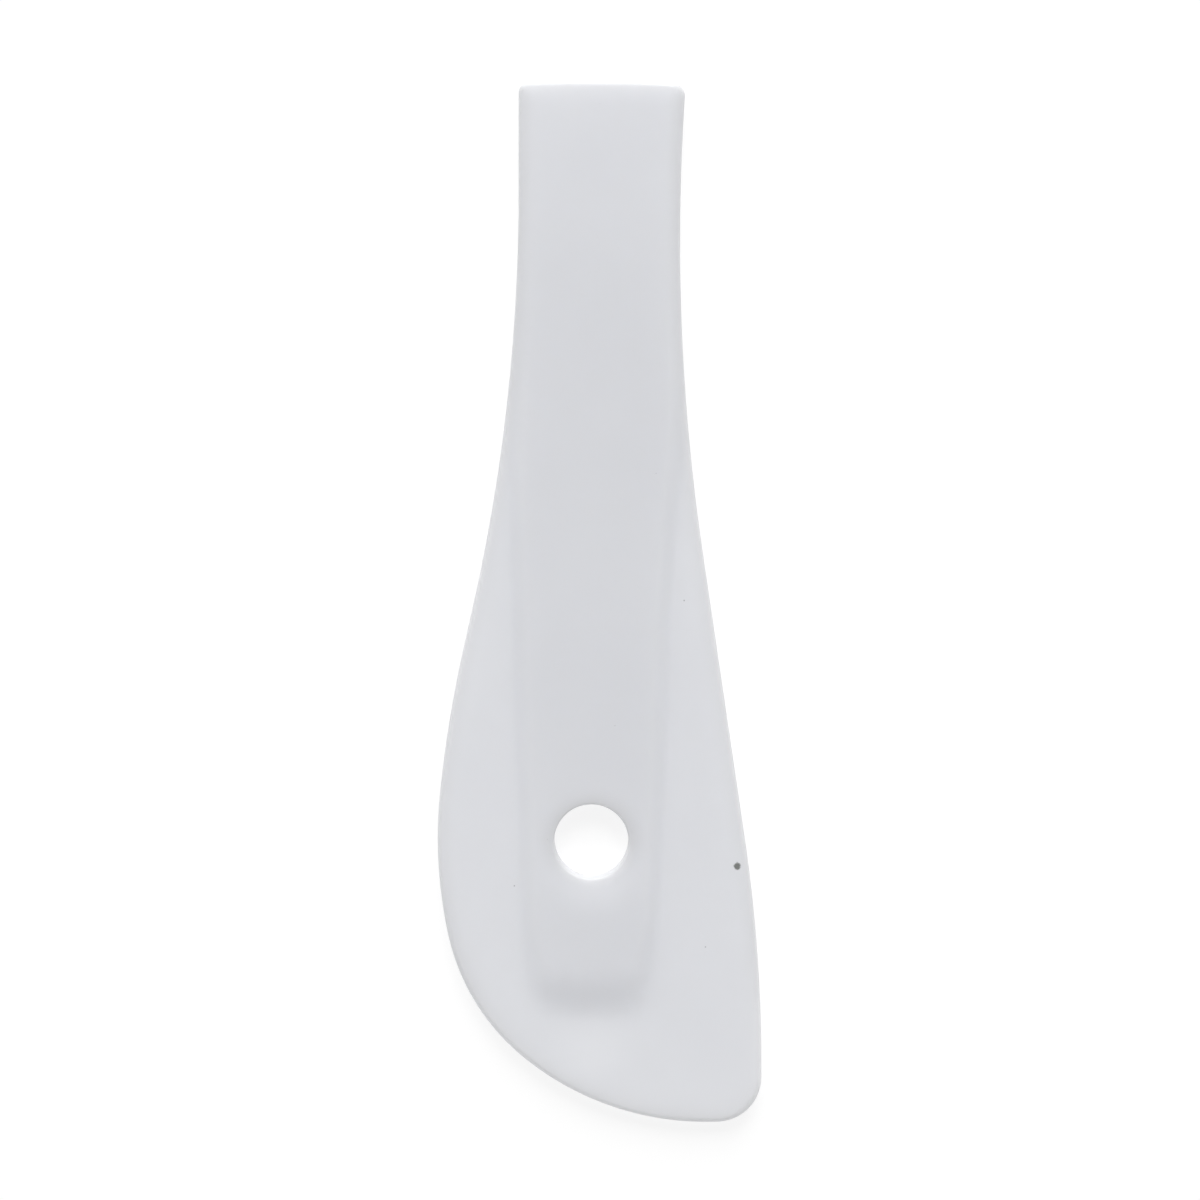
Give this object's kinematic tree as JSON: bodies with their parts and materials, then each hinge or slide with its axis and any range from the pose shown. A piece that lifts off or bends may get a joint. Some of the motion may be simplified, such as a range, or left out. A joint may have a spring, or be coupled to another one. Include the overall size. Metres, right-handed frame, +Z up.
{
  "type": "bone folder",
  "caption": "Flat moulded plastic creasing and burnishing tool with a waisted grip, a raised spine, a thin round-toed blade and a hang hole.",
  "frame": {"origin": "under the middle of the outline, on the surface that the folder lies on", "axes": "+Y along the folder towards the square grip end, +Z up out of the face that is seen, +X to the right seen from above with the grip end at the top"},
  "size_m": [0.0472, 0.152, 0.004],
  "materials": {
    "white_plastic": "satin"
  },
  "bodies": {
    "root": {"bone_folder": "white_plastic"}
  },
  "joints": []
}
